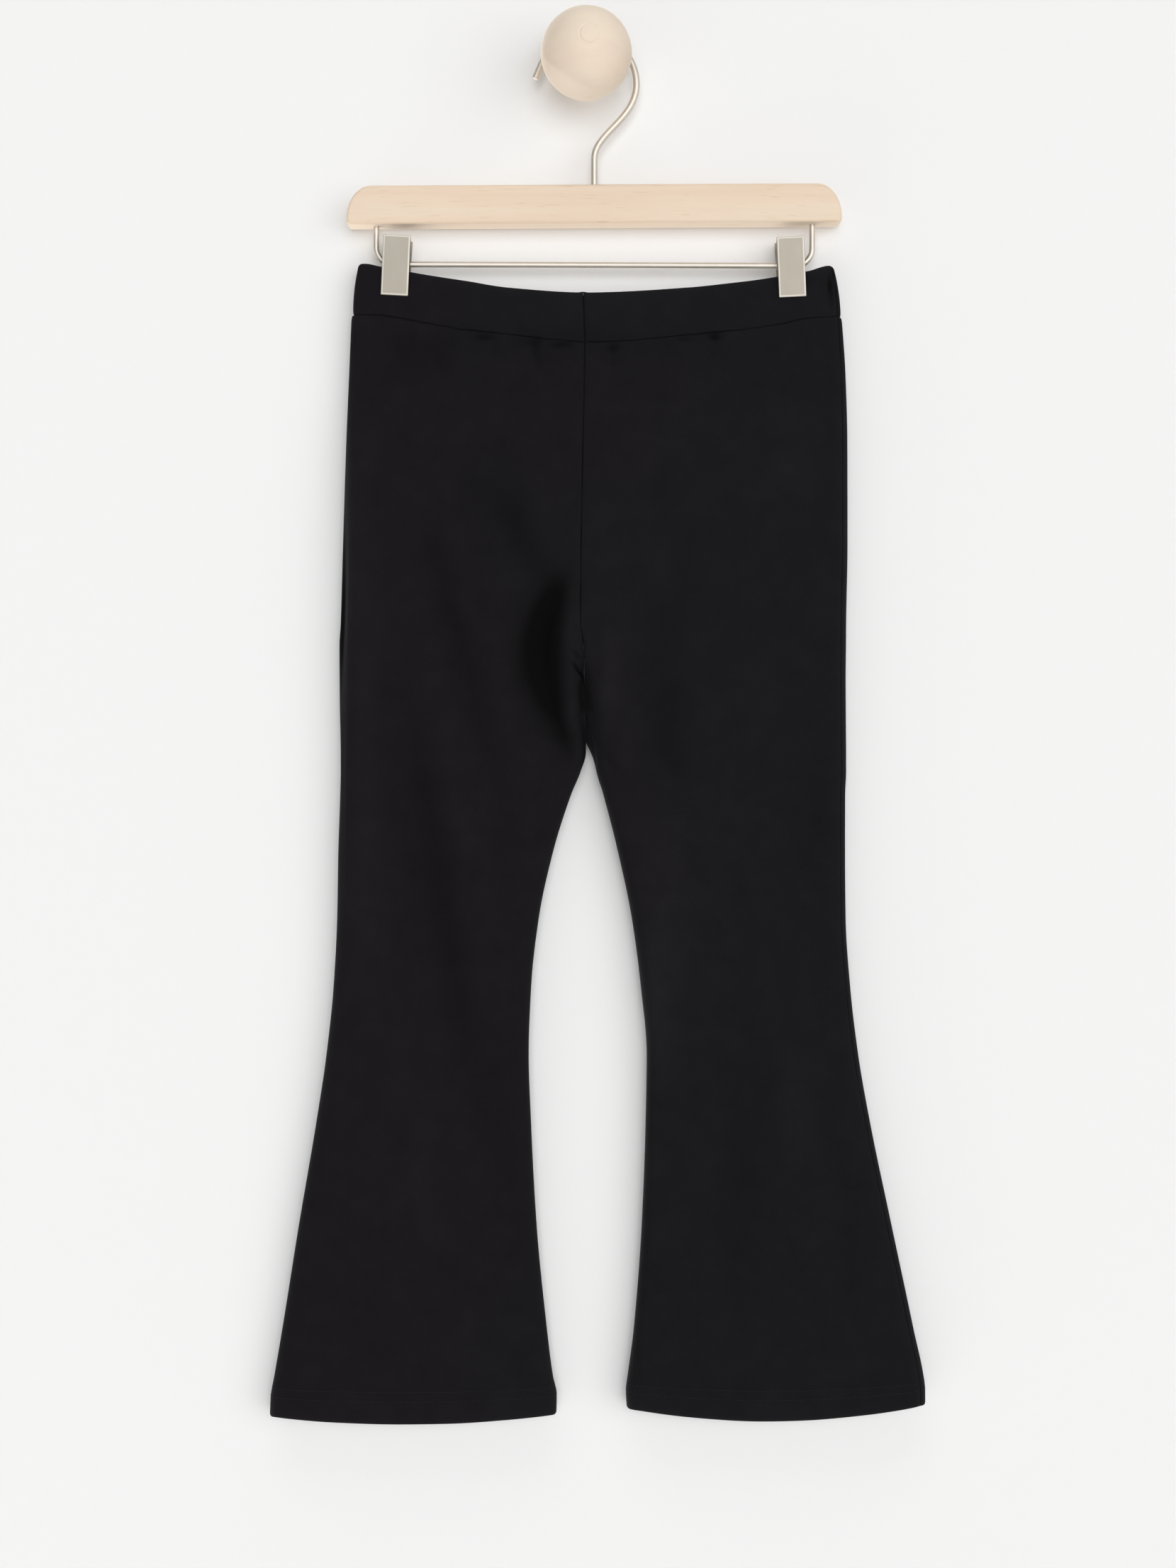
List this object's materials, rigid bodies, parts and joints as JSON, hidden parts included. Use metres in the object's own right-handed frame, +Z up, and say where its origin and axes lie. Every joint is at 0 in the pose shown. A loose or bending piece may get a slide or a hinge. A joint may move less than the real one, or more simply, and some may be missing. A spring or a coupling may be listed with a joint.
{
  "type": "flared leggings on a clip hanger and a wall knob",
  "caption": "Flared knit leggings with a wide waistband, clipped to a wooden bar hanger with a wire hook that hangs from a ball-shaped wooden wall knob.",
  "frame": {"origin": "the middle of the knob's flat back, where it meets the wall", "axes": "+Z up, +Y into the wall, -Y out into the room, +X to the right seen from the room"},
  "size_m": [0.423, 0.0672, 0.9076],
  "materials": {
    "black_knit": "matt black fine rib jersey",
    "pale_wood": "pale clear-lacquered wood",
    "satin_nickel": "satin nickel-plated sheet steel",
    "bright_wire": "bright plated round steel wire"
  },
  "bodies": {
    "root": {"back_left_leg": "black_knit", "back_right_leg": "black_knit", "front_left_leg": "black_knit", "front_right_leg": "black_knit", "waistband_back_left": "black_knit", "waistband_back_right": "black_knit", "waistband_front_left": "black_knit", "waistband_front_right": "black_knit", "hanger_bar": "pale_wood", "hook": "bright_wire", "clip_rod": "bright_wire", "clip_left_near_jaw": "satin_nickel", "clip_left_far_jaw": "satin_nickel", "clip_right_near_jaw": "satin_nickel", "clip_right_far_jaw": "satin_nickel", "wall_knob": "pale_wood"}
  },
  "joints": []
}
